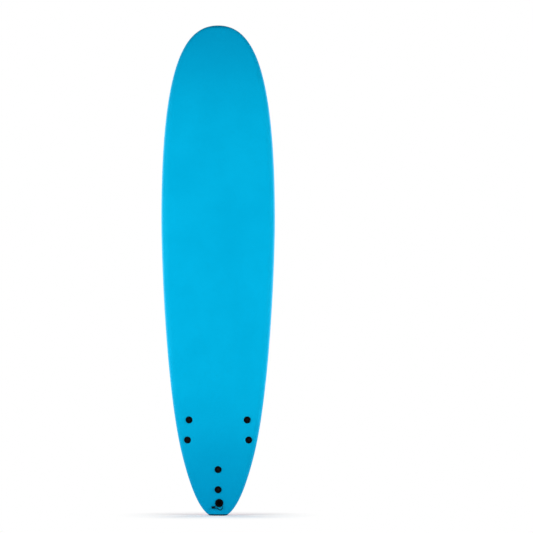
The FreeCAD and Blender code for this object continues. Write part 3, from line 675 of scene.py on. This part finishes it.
def braid(name, line, radius, pitch, around):
    """Strands that wind both ways round the line and weave through each other."""
    run = run_length(line)
    at = np.arange(0, run[-1], BRAID_STEP)
    dense = np.stack([np.interp(at, run, line[:, k]) for k in range(3)], axis=1)
    first, second = carried_frames(dense)
    thick = 0.155 * radius
    grids = []
    for way in (1, -1):
        for number in range(STRANDS):
            turn = way * 2 * math.pi * at / (pitch * MM) + 2 * math.pi * number / STRANDS
            weave = way * np.cos(STRANDS * turn)
            far = (radius - 1.75 * thick) + 0.6 * thick * weave
            middle = dense + far[:, None] * (np.cos(turn)[:, None] * first + np.sin(turn)[:, None] * second)
            grids.append(grid_mesh(f"{name}_{way}_{number}", tube_rows(middle, thick * 1.15, around)))
    core = grid_mesh(name + "_core", tube_rows(dense, radius - 2.4 * thick, 12))
    return smooth(one_sheet(name, [core, *grids], 1e-9), 80)


string = braid("leash_string_braid", string_line, STRING_RADIUS, 9.0, 7)
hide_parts("leash_string")
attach(string, "board")
print("Braid:", len(string.data.vertices), "points")

# %% [markdown]
# ## The knot
# Where the two ends meet they are whipped: the string wraps round both strands a few times and is
# pulled tight. The wraps are one more NURBS line, an oval helix that sits where the solid knot is.

# %% Knot
WRAPS = []
for step in range(37):
    turn = step * math.pi / 4
    x = -37.2 + 3.3 * step / 8 + 0.5 * math.sin(step)
    y = -22.2 + (5.4 - 0.03 * step) * math.cos(turn)
    z = 4.6 + 3.1 * math.sin(turn)
    WRAPS.append((x * MM, y * MM, z * MM))
knot_line = spline_points("knot_route", WRAPS, PLUG_AXES)
knot = braid("leash_knot_wraps", knot_line, STRING_RADIUS - 0.05 * MM, 8.0, 6)
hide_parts("leash_knot")
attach(knot, "board")
print("Knot:", len(knot.data.vertices), "points")

# %% [markdown]
# ## Shader maths
# A material's pattern is arithmetic on positions. `Wire` wraps a socket so that the arithmetic reads
# as plain Python, and every operator adds its Math node. `Finish` is one material: it makes nodes of
# any kind and feeds the Principled shader.


# %% Sockets as expressions
def linear(color):
    """A colour given as 0 to 255 screen values, as the shader wants it."""
    shares = [c / 255 for c in color]
    return tuple(s / 12.92 if s <= 0.04045 else ((s + 0.055) / 1.055) ** 2.4 for s in shares) + (1.0,)


def socket_name(word):
    """Specular_Ior_Level becomes Specular IOR Level."""
    return word.replace("_", " ").replace("Ior", "IOR")


class Wire:
    """An output socket that takes part in sums."""

    def __init__(self, finish, socket):
        self.finish, self.socket = finish, socket

    def math(self, operation, *values):
        return self.finish.node("ShaderNodeMath", {"operation": operation}, dict(enumerate(values)))

    def __add__(self, other):
        return self.math("ADD", self, other)

    def __sub__(self, other):
        return self.math("SUBTRACT", self, other)

    def __rsub__(self, other):
        return self.math("SUBTRACT", other, self)

    def __mul__(self, other):
        return self.math("MULTIPLY", self, other)

    def __truediv__(self, other):
        return self.math("DIVIDE", self, other)

    def __pow__(self, other):
        return self.math("POWER", self, other)

    __radd__, __rmul__ = __add__, __mul__

    def sine(self):
        return self.math("SINE", self)

    def size(self):
        return self.math("ABSOLUTE", self)

    def part(self):
        return self.math("FRACT", self)

    def between(self, low, high):
        """0 below low, 1 above high and a smooth step from one to the other."""
        values = {"Value": self, "From Min": low, "From Max": high}
        return self.finish.node("ShaderNodeMapRange", {"interpolation_type": "SMOOTHSTEP"}, values)


class Finish:
    """One material. Its fixed numbers are set on the shader, and its nodes come from node()."""

    def __init__(self, name, color, roughness, **fixed):
        self.material = bpy.data.materials.new(name)
        self.material.use_nodes = True
        self.tree = self.material.node_tree
        self.shader = self.tree.nodes["Principled BSDF"]
        self.shader.inputs["Base Color"].default_value = linear(color)
        self.shader.inputs["Roughness"].default_value = roughness
        for key, value in fixed.items():
            self.shader.inputs[socket_name(key)].default_value = value

    def node(self, kind, settings, values, output=0):
        """Makes a node: its settings first, then the values or wires of its sockets."""
        made = self.tree.nodes.new(kind)
        for key, value in settings.items():
            if key == "stops":
                self.set_stops(made.color_ramp, value)
            else:
                setattr(made, key, value)
        for key, value in values.items():
            self.feed(made.inputs[key], value)
        return Wire(self, made.outputs[output])

    def set_stops(self, ramp, stops):
        """Colours with hard steps between them."""
        ramp.interpolation = "CONSTANT"
        while len(ramp.elements) < len(stops):
            ramp.elements.new(1.0)
        for element, (start, color) in zip(ramp.elements, stops):
            element.position = start
            element.color = linear(color)

    def feed(self, socket, value):
        """Links a wire to the socket, or sets its number."""
        if isinstance(value, Wire):
            self.tree.links.new(value.socket, socket)
        else:
            socket.default_value = value

    def point(self):
        """The place on the piece, in metres."""
        return self.node("ShaderNodeTexCoord", {}, {}, "Object")

    def axis(self, letter):
        return self.node("ShaderNodeSeparateXYZ", {}, {0: self.point()}, letter)

    def noise(self, scale, detail, stretch=None):
        where = self.point()
        if stretch:
            where = self.node("ShaderNodeVectorMath", {"operation": "MULTIPLY"}, {0: where, 1: stretch})
        return self.node("ShaderNodeTexNoise", {}, {"Vector": where, "Scale": scale, "Detail": detail})

    def cells(self, scale):
        values = {"Vector": self.point(), "Scale": scale}
        return self.node("ShaderNodeTexVoronoi", {"feature": "SMOOTH_F1"}, values, "Distance")

    def blend(self, share, first, second):
        """One colour fading into another."""
        colors = {6: first, 7: second}
        colors = {key: linear(c) if isinstance(c, tuple) else c for key, c in colors.items()}
        return self.node("ShaderNodeMix", {"data_type": "RGBA"}, {0: share, **colors}, 2)

    def bump(self, height, distance, below=None):
        """Relief in millimetres; below is a coarser bump that this one adds to."""
        values = {"Height": height, "Distance": distance * MM}
        if below:
            values["Normal"] = below
        return self.node("ShaderNodeBump", {}, values)

    def use(self, **wires):
        """Feeds the shader's own sockets."""
        for key, wire in wires.items():
            self.feed(self.shader.inputs[socket_name(key)], wire)


def wear(finish, *things):
    """Gives pieces or frame nodes this material in every slot."""
    for thing in things:
        piece = frame["nodes"][thing] if isinstance(thing, str) else thing
        if not piece.material_slots:
            piece.data.materials.append(finish.material)
        for slot in piece.material_slots:
            slot.material = finish.material


# %% [markdown]
# ## Deck foam
# The deck is a dyed, closed-cell foam with a fine pebbled skin that a foot can grip. Small rounded
# cells give the pebble, and the grooves between them get painted shade; a second finer noise gives the
# pores, and a very broad one gives the slight hand-laid waves in the surface. The dye is a touch
# uneven, and painted shade makes the deck a little darker towards both ends.

# %% Deck foam
foam = Finish("deck_foam_blue", (0, 178, 226), 0.5, Specular_Ior_Level=0.1)
foam.shader.inputs["Specular Tint"].default_value = (0.06, 0.8, 1.0, 1.0)
cloud = foam.noise(5.0, 4.0)
speck = foam.noise(260.0, 2.0)
up = foam.axis("Z")
# painted shade: a mask that rises towards the nose and the tail
painted_end_shade = (up - 1.3).size().between(0.6, 1.3)
tint = foam.blend(cloud.between(0.3, 0.7), (0, 178, 225), (2, 183, 230))
tint = foam.blend(speck.between(0.62, 0.8) * 0.35, tint, (8, 194, 238))
# painted shade: the deck's colour is darkened towards both ends
tint = foam.blend(painted_end_shade * 0.75, tint, (0, 148, 197))
pebble = foam.cells(430.0)
# painted shade: the grooves between the pebbles, where the bump is lowest, are coloured darker
tint = foam.blend(pebble.between(0.42, 0.85) * 0.4, tint, (0, 140, 190))
relief = foam.bump(cloud, 0.5, foam.bump(foam.noise(16.0, 1.0), 0.7))
relief = foam.bump(foam.noise(1400.0, 2.0), 0.06, foam.bump(1.0 - pebble, 0.24, relief))
foam.use(Base_Color=tint, Roughness=0.44 + 0.14 * pebble, Normal=relief)
wear(foam, skin)
print("Deck foam:", len(foam.tree.nodes), "nodes")

# %% [markdown]
# ## Backing foam
# The white layer that shows as a line inside the rail is the same kind of foam, undyed. It is
# finer, and a little grey has settled in its pores.

# %% Backing foam
white_foam = Finish("backing_foam_white", (230, 233, 236), 0.7, Specular_Ior_Level=0.1)
pores = white_foam.cells(700.0)
dust = white_foam.noise(35.0, 4.0)
white_foam.use(
    Base_Color=white_foam.blend(dust.between(0.45, 0.75) * 0.5, (231, 234, 237), (210, 215, 219)),
    Normal=white_foam.bump(pores, 0.12),
)
wear(white_foam, backing)
print("Backing foam:", len(white_foam.tree.nodes), "nodes")

# %% [markdown]
# ## The printed sheet
# The underside is a slick plastic sheet, printed on its back in three colours: wide bands of pink,
# black and turquoise. The bands here lean across the board and their edges roll like a low swell. One
# number, how far along the swell a point lies, picks the colour from a ramp with hard steps.
# Over the print the sheet is clear and glossy, with faint waves and hairline scuffs from sand.

# %% Printed sheet
BAND = 0.356
sheet_print = Finish("slick_print", (208, 85, 148), 0.28, Specular_Ior_Level=0.06)
across, along = sheet_print.axis("X"), sheet_print.axis("Z")
swell = 0.026 * (across * 14.0 + 0.6).sine() + 0.011 * (across * 37.0 + 2.1).sine()
place_in_print = ((along + swell + across * 0.3 - 0.02) / (3 * BAND)).part()
full = [(0.0, (205, 84, 146)), (1 / 3, (6, 6, 9)), (2 / 3, (66, 192, 213))]
pale = [(0.0, (224, 104, 166)), (1 / 3, (14, 14, 17)), (2 / 3, (90, 204, 224))]
kind = "ShaderNodeValToRGB"
inks = [sheet_print.node(kind, {"stops": stops}, {0: place_in_print}) for stops in (full, pale)]
ink = sheet_print.blend(sheet_print.noise(3.5, 3.0).between(0.3, 0.75), *inks)
scuff = sheet_print.noise(90.0, 5.0, (1.0, 1.0, 0.08)).between(0.62, 0.74)
wave = sheet_print.noise(22.0, 1.0)
shallow = sheet_print.bump(sheet_print.noise(420.0, 2.0), 0.03, sheet_print.bump(wave, 0.7))
sheet_print.use(Base_Color=ink, Roughness=0.24 + 0.3 * scuff, Normal=shallow)
wear(sheet_print, slick)
print("Printed sheet:", len(sheet_print.tree.nodes), "nodes")

# %% [markdown]
# ## Moulded plastics and rubber
# The black parts are glass-filled nylon with a spark-eroded texture: a fine grain in the bump, and a
# roughness that drifts where hands have polished it. The blades are a cream nylon with a smoother
# mould and faint flow marks. The tail pad is rubber with fine ribs across it.

# %% Plastics and rubber
black = Finish("moulded_black", (9, 9, 11), 0.42, Specular_Ior_Level=0.02)
grain = black.cells(1300.0)
polish = black.noise(55.0, 3.0)
black.use(
    Base_Color=black.blend(polish.between(0.4, 0.75), (7, 7, 9), (12, 12, 14)),
    Roughness=0.34 + 0.22 * polish,
    Normal=black.bump(grain, 0.06),
)
wear(black, *bases.values(), *flanges, cup, bar)

cream = Finish("moulded_cream", (214, 209, 192), 0.36, Coat_Weight=0.15, Coat_Roughness=0.2)
flow = cream.noise(30.0, 4.0, (1.0, 1.0, 0.35))
rub = cream.noise(160.0, 4.0, (0.2, 1.0, 1.0)).between(0.6, 0.75)
cream.use(
    Base_Color=cream.blend(flow.between(0.3, 0.75), (220, 215, 199), (204, 198, 180)),
    Roughness=0.3 + 0.2 * rub,
    Normal=cream.bump(cream.noise(500.0, 2.0), 0.02, cream.bump(flow, 0.25)),
)
wear(cream, *blades.values())

rubber = Finish("tail_rubber", (11, 11, 13), 0.72, Specular_Ior_Level=0.05)
ribs = (rubber.axis("Y") * (2 * math.pi / 0.0022)).sine()
chalk = rubber.noise(140.0, 4.0)
rubber.use(
    Base_Color=rubber.blend(chalk.between(0.5, 0.8) * 0.6, (12, 12, 14), (34, 35, 38)),
    Roughness=0.62 + 0.2 * chalk,
    Normal=rubber.bump(ribs, 0.25, rubber.bump(chalk, 0.2)),
)
wear(rubber, pad)
print("Plastics and rubber: 3 finishes")

# %% [markdown]
# ## Metals
# The screws are black-oxide steel, worn grey in patches. The inserts in the fins' posts are turned
# brass with fine rings left by the lathe.

# %% Metals
oxide = Finish("black_oxide_steel", (46, 47, 50), 0.38, Metallic=1.0)
worn = oxide.noise(240.0, 5.0)
oxide.use(
    Base_Color=oxide.blend(worn.between(0.6, 0.78), (22, 22, 25), (66, 67, 70)),
    Roughness=0.3 + 0.25 * worn,
    Normal=oxide.bump(oxide.noise(1500.0, 2.0), 0.015),
)
wear(oxide, *screws)

brass = Finish("turned_brass", (201, 162, 90), 0.3, Metallic=1.0)
rings = (brass.axis("Y") * (2 * math.pi / 0.0004)).sine()
tarnish = brass.noise(300.0, 4.0)
brass.use(
    Base_Color=brass.blend(tarnish.between(0.45, 0.75), (206, 168, 96), (150, 112, 56)),
    Roughness=0.24 + 0.25 * tarnish,
    Normal=brass.bump(rings, 0.01),
)
wear(brass, *["fin_inserts_" + fin for fin in FINS])
print("Metals: 2 finishes")

# %% [markdown]
# ## Inside the board
# The core is white bead foam: cells of four millimetres with soft walls, which show wherever a bolt
# hole passes. The stringers are pale wood with their grain along the board, and the sleeves through
# the core are milky plastic.

# %% Core, stringers and sleeves
beads = Finish("bead_foam", (238, 238, 232), 0.8)
bead_walls = beads.cells(230.0)
beads.use(
    Base_Color=beads.blend(bead_walls.between(0.25, 0.7), (242, 242, 237), (214, 215, 210)),
    Normal=beads.bump(bead_walls * -1.0, 0.5),
)
CORES = ["core_tail", "core_left_outer", "core_left_inner", "core_right_inner", "core_right_outer"]
wear(beads, *CORES)

wood = Finish("stringer_wood", (200, 164, 116), 0.6)
grain_lines = wood.noise(60.0, 6.0, (6.0, 1.0, 0.06))
wood.use(
    Base_Color=wood.blend(grain_lines.between(0.35, 0.65), (214, 180, 132), (158, 116, 72)),
    Roughness=0.5 + 0.25 * grain_lines,
    Normal=wood.bump(grain_lines, 0.15),
)
wear(wood, "stringer_left", "stringer_center", "stringer_right")

milky = Finish("sleeve_plastic", (222, 224, 226), 0.5)
streaks = milky.noise(120.0, 3.0, (1.0, 0.1, 1.0))
milky.use(
    Base_Color=milky.blend(streaks.between(0.3, 0.7), (226, 228, 230), (200, 203, 206)),
    Normal=milky.bump(streaks, 0.08),
)
wear(milky, *["fin_sleeves_" + fin for fin in FINS])
print("Inside: 3 finishes")

# %% [markdown]
# ## Braided string
# The string is black polyester. Its strands are real geometry, so the material only has to give them
# the fibres: fine lines along the strands, a soft sheen and a little lint.

# %% Braided string
fibre = Finish("braided_polyester", (9, 9, 11), 0.7, Specular_Ior_Level=0.02)
hairs = fibre.noise(2600.0, 3.0)
fibre.use(
    Base_Color=fibre.blend(hairs.between(0.5, 0.8), (8, 8, 10), (30, 31, 34)),
    Roughness=0.6 + 0.25 * hairs,
    Normal=fibre.bump(hairs, 0.08),
)
wear(fibre, string, knot)
print("String:", len(fibre.tree.nodes), "nodes")

# %% [markdown]
# ## Camera
# The board stands upright and is seen square on from far away, so its width and length keep their
# proportions. It stands left of the middle, which leaves clear space at its right.

# %% Camera
camera_data = bpy.data.cameras.new("camera")
camera_data.lens = 406.85
camera_data.sensor_width = 36
camera_data.clip_end = 60
camera = bpy.data.objects.new("camera", camera_data)
bpy.context.collection.objects.link(camera)
camera.location = (0.241, -30.0, 1.2397)
camera.rotation_euler = (math.radians(90), 0, 0)
bpy.context.scene.camera = camera
bpy.context.scene.view_settings.view_transform = "Standard"
print("Camera is", -camera.location.y, "m away")

# %% [markdown]
# ## Light
# Two tall softboxes stand in front, one on each side, so light falls across both rails and leaves
# a soft brighter line along each. A small weak lamp between them fills the upper deck, and two broad
# ones behind light the underside for anyone who walks round. Together they are just bright enough
# for each colour to look as its numbers say.


# %% Lamps
def softbox(name, place_at, aim, width, height, power):
    """A flat lamp that faces the point it is aimed at."""
    lamp = bpy.data.lights.new(name, "AREA")
    lamp.shape = "RECTANGLE"
    lamp.size = width
    lamp.size_y = height
    lamp.energy = power
    holder = bpy.data.objects.new(name, lamp)
    bpy.context.collection.objects.link(holder)
    holder.location = place_at
    holder.rotation_euler = (Vector(aim) - Vector(place_at)).to_track_quat("-Z", "Y").to_euler()


MIDDLE = (0, 0, 1.25)
softbox("softbox_left", (-2.4, -1.3, 1.5), MIDDLE, 0.3, 1.7, 44)
softbox("softbox_right", (2.4, -1.3, 1.5), MIDDLE, 0.3, 1.7, 38)
softbox("front_fill", (0.1, -2.6, 1.9), (0, 0, 1.6), 1.0, 1.0, 6)
softbox("back_left", (-3.0, 3.2, 1.7), MIDDLE, 1.2, 2.4, 80)
softbox("back_right", (3.0, 3.2, 1.7), MIDDLE, 1.2, 2.4, 80)
print("Lamps: 5")


# %% [markdown]
# ## World and floor
# The world is an even, soft grey-white for light, and pure white wherever the camera sees it, straight
# or in a glossy or clear surface. The floor is a large pale disc. Near the board it is a plain
# diffuse floor that takes the board's shadow, and further out it fades to the same white as the
# background, so no edge or horizon shows.

# %% World and floor
world = bpy.data.worlds.new("studio")
bpy.context.scene.world = world
world.use_nodes = True
nodes = world.node_tree.nodes
lit = nodes["Background"]
lit.inputs["Color"].default_value = (0.97, 0.985, 1.0, 1)
lit.inputs["Strength"].default_value = 0.27
seen = nodes.new("ShaderNodeBackground")
seen.inputs["Color"].default_value = (1, 1, 1, 1)
seen.inputs["Strength"].default_value = 1.0
ray = nodes.new("ShaderNodeLightPath")
either, any_ray = nodes.new("ShaderNodeMath"), nodes.new("ShaderNodeMath")
either.operation = any_ray.operation = "MAXIMUM"
choice = nodes.new("ShaderNodeMixShader")
for start, end in (
    (ray.outputs["Is Camera Ray"], either.inputs[0]),
    (ray.outputs["Is Glossy Ray"], either.inputs[1]),
    (either.outputs[0], any_ray.inputs[0]),
    (ray.outputs["Is Transmission Ray"], any_ray.inputs[1]),
    (any_ray.outputs[0], choice.inputs[0]),
    (lit.outputs[0], choice.inputs[1]),
    (seen.outputs[0], choice.inputs[2]),
    (choice.outputs[0], nodes["World Output"].inputs[0]),
):
    world.node_tree.links.new(start, end)

bpy.ops.mesh.primitive_circle_add(vertices=96, radius=9.0, fill_type="NGON", location=(0, 0, 0))
floor = bpy.context.object
floor.name = "studio_floor"
ground = Finish("studio_floor", (246, 246, 247), 0.85, Specular_Ior_Level=0.1)
far = (ground.axis("X") ** 2.0 + ground.axis("Y") ** 2.0) ** 0.5
glow = ground.node("ShaderNodeEmission", {}, {"Color": (1, 1, 1, 1), "Strength": 1.0})
rays = ground.node("ShaderNodeLightPath", {}, {}, "Is Camera Ray")
mixed = ground.node(
    "ShaderNodeMixShader",
    {},
    {0: far.between(0.12, 0.55) * rays, 1: Wire(ground, ground.shader.outputs[0]), 2: glow},
)
ground.feed(ground.tree.nodes["Material Output"].inputs["Surface"], mixed)
wear(ground, floor)
print("Floor:", len(ground.tree.nodes), "nodes")
